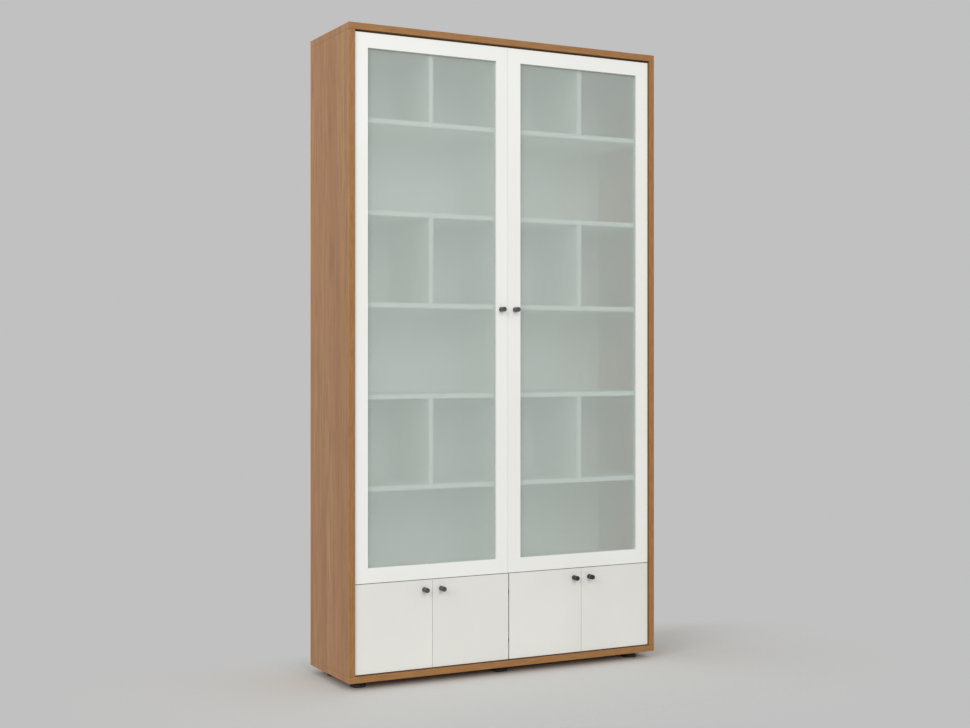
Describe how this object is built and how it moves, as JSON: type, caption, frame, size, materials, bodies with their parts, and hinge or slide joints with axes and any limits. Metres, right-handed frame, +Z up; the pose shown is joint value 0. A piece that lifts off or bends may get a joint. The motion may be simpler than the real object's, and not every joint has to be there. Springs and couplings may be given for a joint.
{
  "type": "office cabinet",
  "caption": "Tall shallow office cabinet with two frosted glass doors over small plain doors, fixed shelves and upright dividers inside.",
  "frame": {"origin": "on the floor, under the middle of the whole cabinet with its knobs", "axes": "+Z up, +X to the right as seen from the front, and the doors face -Y"},
  "size_m": [1.2, 0.3718, 2.2],
  "materials": {
    "wood_laminate": "satin wood-grain laminate",
    "white_board": "matt white melamine",
    "white_lacquer": "satin white lacquer",
    "frosted_glass": "etched, satin",
    "dark_metal": "satin dark grey",
    "black_plastic": "matt moulded",
    "nickel_steel": "nickel plated"
  },
  "bodies": {
    "case": {"left_side": "wood_laminate", "right_side": "wood_laminate", "top_panel": "wood_laminate", "bottom_panel": "wood_laminate", "back_panel": "white_board", "centre_partition": "white_board", "left_fixed_shelf": "white_board", "right_fixed_shelf": "white_board", "left_shelf_1": "white_board", "left_shelf_2": "white_board", "left_shelf_3": "white_board", "left_shelf_4": "white_board", "left_shelf_5": "white_board", "right_shelf_1": "white_board", "right_shelf_2": "white_board", "right_shelf_3": "white_board", "right_shelf_4": "white_board", "right_shelf_5": "white_board", "left_divider_1": "white_board", "left_divider_3": "white_board", "left_divider_5": "white_board", "right_divider_1": "white_board", "right_divider_3": "white_board", "right_divider_5": "white_board", "left_door_hinge_1": "nickel_steel", "left_door_hinge_2": "nickel_steel", "left_door_hinge_3": "nickel_steel", "left_door_hinge_4": "nickel_steel", "right_door_hinge_1": "nickel_steel", "right_door_hinge_2": "nickel_steel", "right_door_hinge_3": "nickel_steel", "right_door_hinge_4": "nickel_steel", "lower_door_1_hinge_1": "nickel_steel", "lower_door_1_hinge_2": "nickel_steel", "lower_door_2_hinge_1": "nickel_steel", "lower_door_2_hinge_2": "nickel_steel", "lower_door_3_hinge_1": "nickel_steel", "lower_door_3_hinge_2": "nickel_steel", "lower_door_4_hinge_1": "nickel_steel", "lower_door_4_hinge_2": "nickel_steel", "front_left_foot": "black_plastic", "front_centre_foot": "black_plastic", "front_right_foot": "black_plastic", "rear_left_foot": "black_plastic", "rear_centre_foot": "black_plastic", "rear_right_foot": "black_plastic"},
    "left_door": {"left_door_frame": "white_lacquer", "left_door_glass": "frosted_glass", "left_door_knob": "dark_metal"},
    "right_door": {"right_door_frame": "white_lacquer", "right_door_glass": "frosted_glass", "right_door_knob": "dark_metal"},
    "small_door_1": {"lower_door_1": "white_lacquer", "lower_door_1_knob": "dark_metal"},
    "small_door_2": {"lower_door_2": "white_lacquer", "lower_door_2_knob": "dark_metal"},
    "small_door_3": {"lower_door_3": "white_lacquer", "lower_door_3_knob": "dark_metal"},
    "small_door_4": {"lower_door_4": "white_lacquer", "lower_door_4_knob": "dark_metal"}
  },
  "joints": [
    {"name": "left_door_swing", "type": "hinge", "parent": "case", "child": "left_door", "pos_m": [-0.56849, -0.1526, 1.2616], "axis": [0, 0, -1], "range_deg": [0, 100]},
    {"name": "right_door_swing", "type": "hinge", "parent": "case", "child": "right_door", "pos_m": [0.56849, -0.1526, 1.2616], "axis": [0, 0, 1], "range_deg": [0, 100]},
    {"name": "lower_door_1_swing", "type": "hinge", "parent": "case", "child": "small_door_1", "pos_m": [-0.56849, -0.1526, 0.2007], "axis": [0, 0, -1], "range_deg": [0, 100]},
    {"name": "lower_door_2_swing", "type": "hinge", "parent": "case", "child": "small_door_2", "pos_m": [-0.00951, -0.1526, 0.2007], "axis": [0, 0, 1], "range_deg": [0, 83]},
    {"name": "lower_door_3_swing", "type": "hinge", "parent": "case", "child": "small_door_3", "pos_m": [0.00951, -0.1526, 0.2007], "axis": [0, 0, -1], "range_deg": [0, 83]},
    {"name": "lower_door_4_swing", "type": "hinge", "parent": "case", "child": "small_door_4", "pos_m": [0.56849, -0.1526, 0.2007], "axis": [0, 0, 1], "range_deg": [0, 100]}
  ]
}
